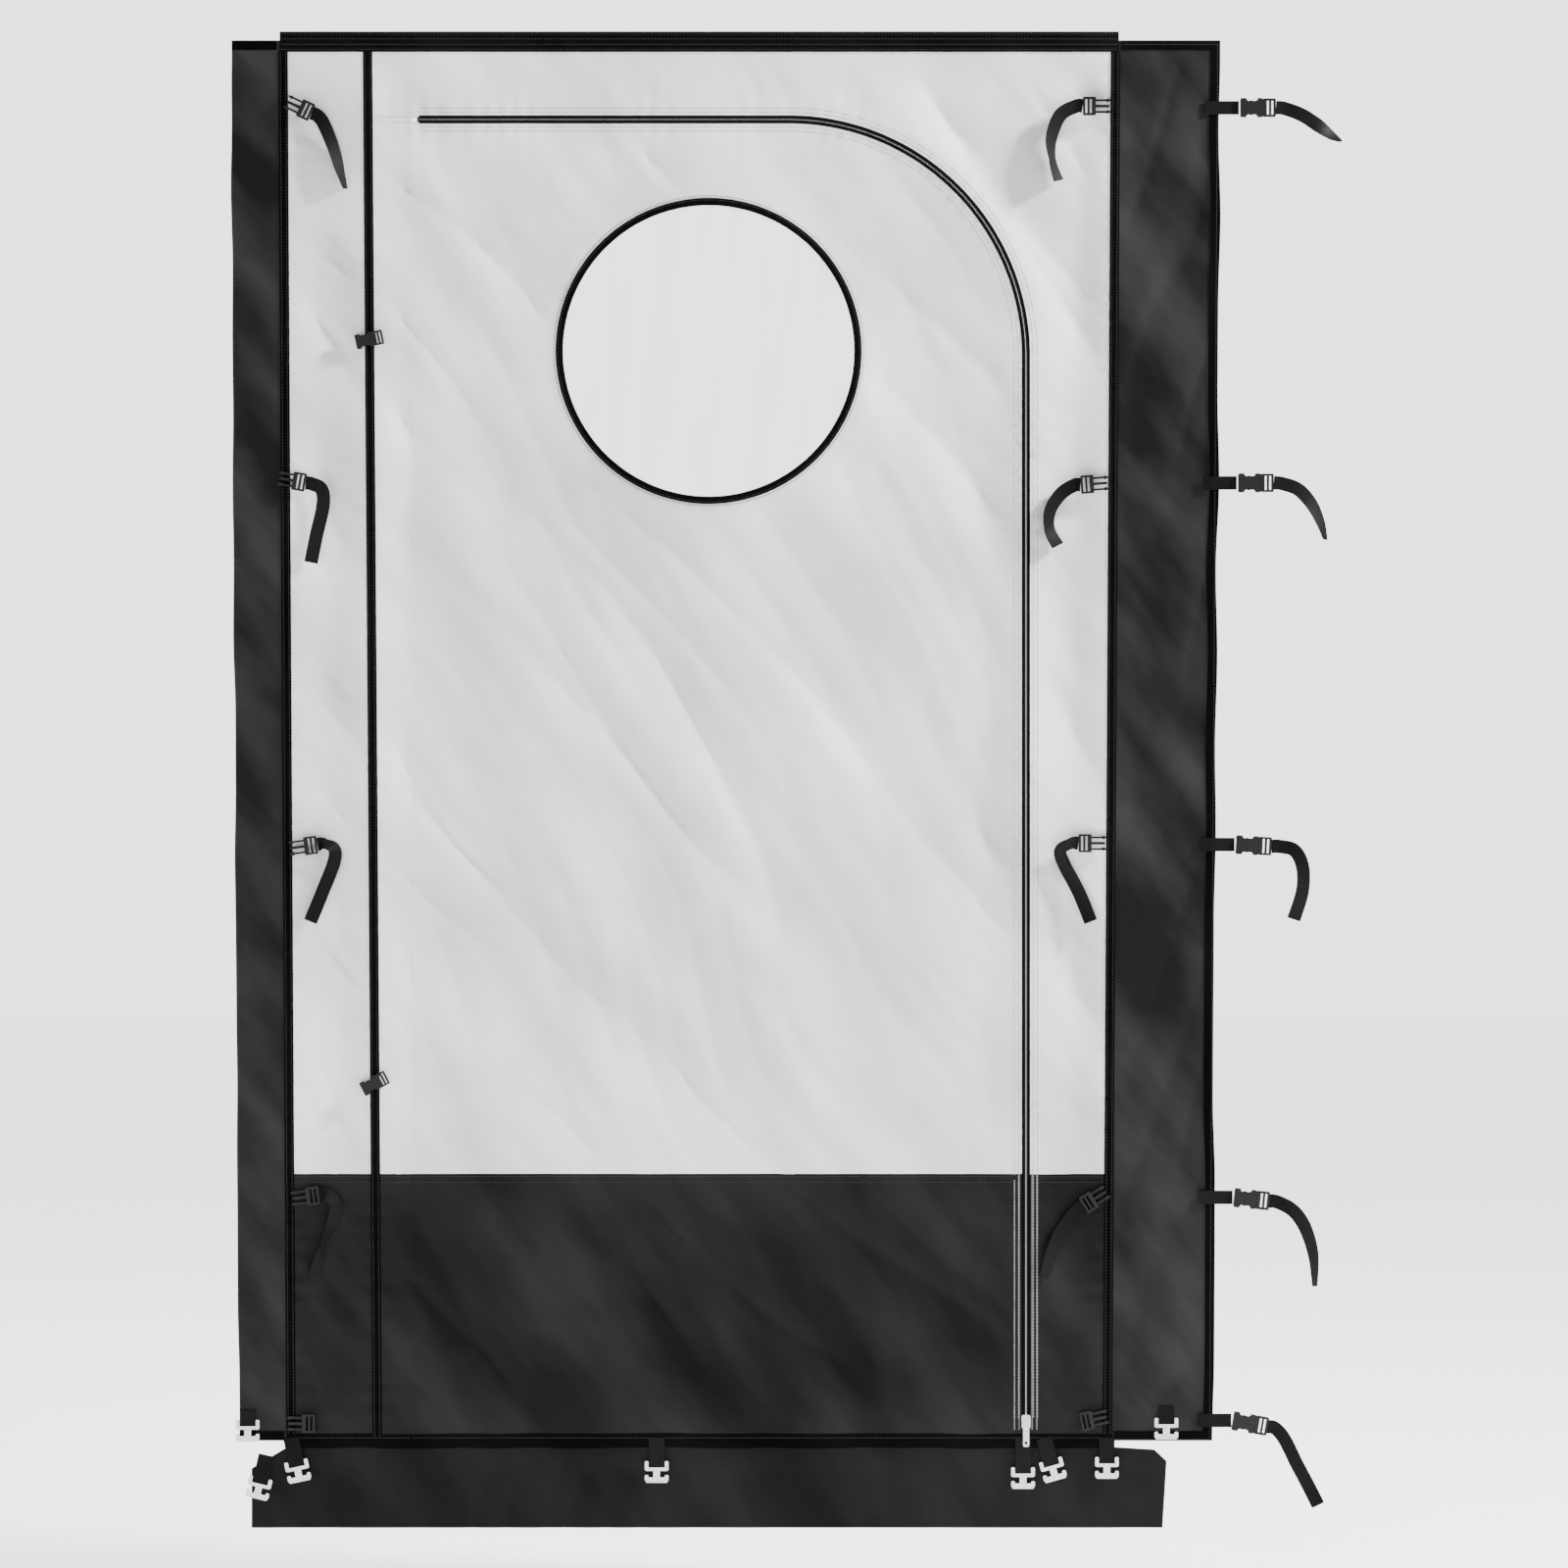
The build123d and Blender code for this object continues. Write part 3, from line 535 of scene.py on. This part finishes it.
# ---- zip face, seams and stitching ------------------------------------------------------
def along_zip(offset, start=DOOR_FOLD + 0.009, end=-2.045):
    """Points beside the zip's line, with a positive offset on the frame's side."""
    points = [(x, ZIP_TOP + offset) for x in np.arange(start, ARC_X, 0.005)]
    turns = np.linspace(math.pi / 2, 0, 110)
    radius = ARC_R + offset
    points += [(ARC_X + radius * math.cos(t), ARC_Z + radius * math.sin(t)) for t in turns]
    points += [(ZIP_X + offset, z) for z in np.arange(ARC_Z - 0.005, end, -0.005)]
    return np.array(points)


def line(a, b, step=0.005):
    """Points along a straight line."""
    return np.array(points_between(a, b, max(2, int(math.dist(a, b) / step))))


def ring_line(radius):
    """Points around the window."""
    turns = np.linspace(0, 2 * math.pi, 300)
    return np.column_stack([WINDOW_X + radius * np.cos(turns), WINDOW_Z + radius * np.sin(turns)])


def band(name, body, inner, outer, front_y, thickness, material):
    """Thin strip between two matching lines."""
    n = len(inner)
    co = np.vstack([inner, outer])
    tris = np.array([t for k in range(n - 1) for t in ((k, k + 1, n + k), (k + 1, n + k + 1, n + k))])
    tris = facing_front(co, tris)
    bump = lift(co[:, 0], co[:, 1])
    obj = solid(name, at_depth(co, front_y + bump), at_depth(co, front_y + thickness + bump), tris)
    obj.data.materials.append(MATERIALS[material])
    attach(obj, body)
    return obj


def stitches(name, body, lines, front_y, stitch=3.2 * MM, gap=1.6 * MM, width=0.9 * MM, thread="thread"):
    """Rows of short raised stitches on the cloth's outer face."""
    starts, ends = [], []
    for path in lines:
        reach = np.concatenate([[0], np.cumsum(np.hypot(*np.diff(path, axis=0).T))])
        at = np.arange(0, reach[-1] - stitch, stitch + gap)
        starts.append(np.column_stack([np.interp(at, reach, path[:, k]) for k in (0, 1)]))
        ends.append(np.column_stack([np.interp(at + stitch, reach, path[:, k]) for k in (0, 1)]))
    a, b = np.vstack(starts), np.vstack(ends)
    t = (b - a) / np.hypot(*(b - a).T)[:, None]
    n = np.column_stack([-t[:, 1], t[:, 0]]) * width / 2
    corners = [a - n, a + n, b + n, b - n]
    ya, yb = front_y + lift(a[:, 0], a[:, 1]), front_y + lift(b[:, 0], b[:, 1])
    depths = [ya, ya, yb, yb]
    top = [at_depth(c, y - 0.35 * MM) for c, y in zip(corners, depths)]
    base = [at_depth(c, y + 0.15 * MM) for c, y in zip(corners, depths)]
    co = np.stack(top + base, axis=1).reshape(-1, 3)
    faces = []
    for k in range(0, len(co), 8):
        faces += [(k + 3, k + 2, k + 1, k), (k + 4, k + 5, k + 6, k + 7)]
        faces += [(k + i, k + (i + 1) % 4, k + 4 + (i + 1) % 4, k + 4 + i) for i in range(4)]
    obj = add_mesh(name, co, faces)
    obj.data.materials.append(MATERIALS[thread])
    attach(obj, body)
    return obj


CLOTH_Y = 1.5 * MM                # outer face of the cloth
TAPE_Y = 0.5 * MM                 # outer face of the bindings
FACE_Y = CLOTH_Y - 0.5 * MM       # outer face of the zip's black strips
SIDE_END = 0.600                  # stitching across the wall stops here, short of the seams
FIXED_END = DOOR_FOLD - 0.003     # and here, short of the door's fold
HEM_ROW = -2.066
STITCH_FOOT = CLOTH_FOOT + 0.006
KICK_ROWS = (KICK_Z - 0.004, KICK_Z - 0.012)
SEAM_ROWS = (-4 * MM, 4 * MM)     # beside the middle of a binding


def level_lines(start, end, rows):
    """Level lines of stitching from one x to another."""
    return [line((start, z), (end, z)) for z in rows]


band("zip_face_door", "door", along_zip(-6.0 * MM), along_zip(-0.4 * MM), FACE_Y, 0.4 * MM, "zip_tape")
band("zip_face_frame", "panel", along_zip(0.4 * MM), along_zip(6.0 * MM), FACE_Y, 0.4 * MM, "zip_tape")

stitches("hem_tape_stitching", "panel", level_lines(-0.619, 0.619, (0.0115, 0.004, -0.004, -0.0115)), 0.0,
         thread="dark_thread")
seam_lines = [line((side * (seam_x(0) + d), -0.012), (side * (seam_x(STITCH_FOOT) + d), STITCH_FOOT))
              for side in (-1, 1) for d in SEAM_ROWS]
tape_lines = [line((tape_x(0) + d, -0.016), (tape_x(STITCH_FOOT) + d, STITCH_FOOT)) for d in SEAM_ROWS]
stitches("seam_stitching", "panel", seam_lines + tape_lines, TAPE_Y, thread="dark_thread")
stitches("panel_kick_stitching", "panel",
         level_lines(-SIDE_END, FIXED_END, KICK_ROWS) + level_lines(0.493, SIDE_END, KICK_ROWS),
         CLOTH_Y, thread="dark_thread")
stitches("door_kick_stitching", "door", level_lines(DOOR_FOLD, 0.474, KICK_ROWS), CLOTH_Y,
         thread="dark_thread")
stitches("window_stitching", "door", [ring_line(WINDOW_R - 0.003), ring_line(WINDOW_R + 0.003)], TAPE_Y,
         thread="dark_thread")

stitches("zip_stitching_door", "door", [along_zip(-11 * MM), along_zip(-17 * MM)], CLOTH_Y,
         width=1.0 * MM, thread="mid_thread")
stitches("zip_stitching_frame", "panel", [along_zip(11 * MM), along_zip(17 * MM)], CLOTH_Y,
         width=1.0 * MM, thread="mid_thread")
ZIP_KICK_ROWS = [(-1, "door", "door", (10 * MM, 17 * MM)), (1, "frame", "panel", (9 * MM, 16 * MM))]
for side, name, body, offsets in ZIP_KICK_ROWS:
    beside = [line((ZIP_X + side * d, KICK_Z), (ZIP_X + side * d, -2.058)) for d in offsets]
    stitches(f"zip_kick_stitching_{name}", body, beside, CLOTH_Y, 4.0 * MM, 0.4 * MM, 1.6 * MM)

header_rows = (ZIP_TOP + 0.004, ZIP_TOP - 0.004)
stitches("header_stitching", "panel", level_lines(tape_x(0) + 0.008, DOOR_FOLD + 0.008, header_rows),
         CLOTH_Y, width=0.7 * MM, thread="mid_thread")
stitches("fixed_hem_stitching", "panel",
         level_lines(-SIDE_END, FIXED_END, (HEM_ROW,)) + level_lines(0.490, SIDE_END, (HEM_ROW,)),
         TAPE_Y, thread="dark_thread")
stitches("door_hem_stitching", "door", level_lines(DOOR_FOLD, 0.476, (HEM_ROW,)), TAPE_Y,
         thread="dark_thread")

EDGE_IN = 0.004                   # the wing's stitching stands in from its edges
wing_top, wing_foot = -EDGE_IN, STITCH_FOOT - EDGE_IN
top_edge, foot_edge = (seam_x(z) + WING_WIDTH - EDGE_IN for z in (0, STITCH_FOOT))
stitches("right_wing_stitching", "right_wing",
         [line((top_edge, wing_top), (foot_edge, wing_foot)),
          line((seam_x(0) + 0.012, wing_top), (top_edge, wing_top)),
          line((seam_x(STITCH_FOOT) + 0.012, wing_foot), (foot_edge, wing_foot))],
         TAPE_Y, thread="dark_thread")


# ---- loose straps -----------------------------------------------------------------------
def smooth_path(points, per=10):
    """Smooth line through the points."""
    p = np.array([points[0]] + list(points) + [points[-1]], float)
    out = []
    for i in range(1, len(p) - 2):
        for t in np.linspace(0, 1, per, endpoint=False):
            a, b, c, d = p[i - 1], p[i], p[i + 1], p[i + 2]
            out.append(0.5 * (2 * b + (c - a) * t + (2 * a - 5 * b + 4 * c - d) * t * t
                              + (3 * b - a - 3 * c + d) * t ** 3))
    return np.array(out + [p[-2]])


def ribbon(name, body, route, twist, width=20 * MM, thickness=1.3 * MM, ends=1.0):
    """Webbing along a route of points in millimetres, turned by the twist in degrees on the way."""
    path = smooth_path(np.array(route, float) * MM)
    n = len(path)
    tangent = np.gradient(path, axis=0)
    tangent /= np.linalg.norm(tangent, axis=1)[:, None]
    flat = np.cross(tangent, (0, 1, 0))
    flat /= np.linalg.norm(flat, axis=1)[:, None]
    rise = np.cross(flat, tangent)
    angle = np.radians(np.interp(np.linspace(0, 1, n), np.linspace(0, 1, len(twist)), twist))[:, None]
    across = flat * np.cos(angle) + rise * np.sin(angle)
    normal = np.cross(across, tangent)
    half = width / 2 * np.interp(np.linspace(0, 1, n), (0, 0.8, 1), (1, 1, ends))[:, None]
    rows = [path + across * half * u + normal * thickness / 2 * v
            for u, v in ((-1, -1), (0, -1.15), (1, -1), (1, 1), (0, 1.15), (-1, 1))]
    co = np.stack(rows, axis=1).reshape(-1, 3)
    faces = [(6 * k + i, 6 * k + (i + 1) % 6, 6 * k + 6 + (i + 1) % 6, 6 * k + 6 + i)
             for k in range(n - 1) for i in range(6)]
    faces += [tuple(range(5, -1, -1)), tuple(range(6 * n - 6, 6 * n))]
    obj = add_mesh(name, co, faces, 40)
    obj.data.materials.append(MATERIALS["webbing"])
    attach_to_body(obj, body)
    return obj


def strap_start(node):
    """Middle of the end of a strap that sits in its ladder lock."""
    low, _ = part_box(node)
    near = [v.co.z for v in nodes[node].data.vertices if v.co.x < low.x + 4 * MM]
    return low.x / MM, sum(near) / len(near) / MM


# each tail: steps (dx, y, dz) from its ladder lock in millimetres, twists in degrees, width at the end
EDGE_TAILS = [
    ([(12, -1.5, -1), (38, -4, -11), (62, -1, -26), (84, 1, -42), (95, -3, -50)], (0, 0, -20, 40, 68), 0.7),
    ([(12, -1.5, -1), (36, -4, -10), (56, -3, -32), (69, 0, -58), (76, -3, -84)], (0, 0, 10, 40, 66), 0.8),
    ([(12, -1.5, 0), (34, -4, -6), (46, -4, -30), (46, -2, -66), (33, -3, -108)], (0, 0, 5, 15, 0), 1.0),
    ([(12, -1.5, -1), (36, -4, -14), (54, -3, -40), (66, 0, -80), (68, -3, -126)], (0, 0, 5, 30, 62), 0.8),
    ([(12, -1.5, -2), (26, -3, -18), (44, -3, -54), (62, -1, -88), (76, -3, -116)], (0, 0, 5, 10, -5), 1.0),
]
for row, (steps, twist, ends) in enumerate(EDGE_TAILS, start=1):
    node = f"right_edge_tail_{row}"
    x0, z0 = strap_start(node)
    route = [(x0, -1.5, z0)] + [(x0 + dx, y, z0 + dz) for dx, y, dz in steps]
    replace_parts(ribbon(f"right_tail_{row}_webbing", BODY_OF[node], route, twist, ends=ends), node)

ROW_Z = (-98, -653, -1188, -1710)  # rows of ladder locks down each seam, in millimetres

# each tail: side of the wall, dx and dz of its lock from the seam and row, aim in degrees, then as above
SEAM_TAILS = [
    (1, -48, 2, 180, [(-34, -4, -14), (-47, -3.5, -50), (-44, -3, -84), (-36, -3.5, -110)],
     (0, 0, 20, 60, 40), 1.0),
    (1, -48, -3, 184, [(-30, -4, -14), (-45, -3.5, -38), (-46, -3, -66), (-34, -4, -90)],
     (0, 0, 20, 40, 20), 1.0),
    (1, -48, 2, 180, [(-27, -4, -10), (-22, -3.5, -30), (0, -3, -72), (18, -3.5, -116)],
     (0, 40, 20, 10, 0), 1.0),
    (1, -38, -12, 212, [(-32, -4, -36), (-46, -3.5, -66), (-58, -3, -106)],
     (0, 10, 20, 30), 0.8),
    (-1, 42, -8, -25, [(18, -4, -16), (32, -3.5, -50), (42, -3, -84), (50, -3.5, -112)],
     (0, 0, 20, 45, 68), 0.6),
    (-1, 30, 0, -10, [(24, -4, -10), (26, -4, -34), (16, -3.5, -78), (8, -3.5, -118)],
     (0, 0, 10, 5, 0), 1.0),
    (-1, 44, 0, 8, [(25, -4, -6), (25, -4, -26), (8, -3.5, -70), (-10, -3.5, -114)],
     (0, 50, 20, 10, 0), 1.0),
    (-1, 44, 4, 8, [(24, -4, -14), (18, -3.5, -44), (4, -3, -80), (-8, -3.5, -120)],
     (0, 30, 30, 60, 20), 0.8),
]
tails = []
for count, (side, dx, dz, aim, steps, twist, ends) in enumerate(SEAM_TAILS):
    z0 = ROW_Z[count % 4]
    x0 = side * seam_x(z0 * MM) / MM + dx
    z0 = z0 + dz
    turn = math.radians(aim)
    route = [(x0 + d * math.cos(turn), -4.5, z0 + d * math.sin(turn)) for d in (0.5, 10)]
    route += [(x0 + ax, y, z0 + az) for ax, y, az in steps]
    tails.append(ribbon(f"seam_tail_{count + 1}_webbing", "panel", route, twist, ends=ends))
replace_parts(tails[0], "seam_tails")


def declare(node, flat=None):
    """Works out a panel's flat size, as large as its CAD box unless one is given, and does nothing with it.
    """
    low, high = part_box(node)
    flat = flat or (high.x - low.x, high.z - low.z)


KICK_SIDES_FLAT = (0.303, 0.394)  # both side panels laid next to each other
declare("header_panel")
declare("hinge_side_panel")
declare("zip_side_panel")
declare("side_kick_panels",
        flat=KICK_SIDES_FLAT)
declare("door_panel")
declare("window_film")
declare("door_kick_panel")
declare("right_wing_panel")
declare("left_wing_inner_panel")
declare("left_wing_outer_panel")
declare("mud_flap")

# ---- floor, light and camera ----------------------------------------------------------
FLOOR_Z = -2.30
FLOOR_GLOW = 2.3
SOFT_LIGHT, VIEW_LIGHT = 0.30, 2.8     # strength of the world for the object and for the camera
MIDDLE = (0, 0, -1.1)                  # of the object, where the lights aim

paint = Paint("studio_floor")
paint.colours(paint.noise(1.5, 2.0), (0.86, 0.86, 0.86), (0.90, 0.90, 0.90))
paint.set(Roughness=0.9, Emission_Color=(1, 1, 1, 1), Emission_Strength=FLOOR_GLOW)
bpy.ops.mesh.primitive_plane_add(size=40, location=(0, 0, FLOOR_Z))
floor = bpy.context.object
floor.name = "studio_floor"
floor.data.materials.append(paint.material)

# white where the camera looks past the object, and a soft light everywhere else
world = bpy.data.worlds.new("studio")
world.use_nodes = True
background = world.node_tree.nodes["Background"]
background.inputs["Color"].default_value = (1, 1, 1, 1)
seen = world.node_tree.nodes.new("ShaderNodeLightPath")
glow = world.node_tree.nodes.new("ShaderNodeMapRange")
glow.inputs["To Min"].default_value = SOFT_LIGHT
glow.inputs["To Max"].default_value = VIEW_LIGHT
world.node_tree.links.new(seen.outputs["Is Camera Ray"], glow.inputs["Value"])
world.node_tree.links.new(glow.outputs["Result"], background.inputs["Strength"])
bpy.context.scene.world = world


def softbox(name, place, size, power):
    """Rectangular light aimed at the object."""
    light = bpy.data.lights.new(name, "AREA")
    light.shape = "RECTANGLE"
    light.size, light.size_y = size
    light.energy = power
    obj = bpy.data.objects.new(name, light)
    obj.location = place
    direction = obj.location - Vector(MIDDLE)
    obj.rotation_euler = direction.to_track_quat("Z", "Y").to_euler()
    bpy.context.scene.collection.objects.link(obj)


softbox("key_light", (3.4, -0.9, 1.6), (0.5, 0.5), 620)
softbox("fill_light", (-2.6, -4.5, -0.4), (2.5, 2.5), 40)
softbox("back_light", (-1.5, 4.0, 1.4), (3.0, 2.0), 110)

CAMERA_X, CAMERA_BACK, CAMERA_Z = 0.1254, 8.0, -1.0984
VIEW_WIDTH = 2.32                      # seen at the wall
SENSOR = 36.0
lens = bpy.data.cameras.new("camera")
lens.sensor_width = SENSOR
lens.lens = SENSOR * CAMERA_BACK / VIEW_WIDTH
camera = bpy.data.objects.new("camera", lens)
camera.location = (CAMERA_X, -CAMERA_BACK, CAMERA_Z)
camera.rotation_euler = (math.pi / 2, 0, 0)
bpy.context.scene.collection.objects.link(camera)
bpy.context.scene.camera = camera
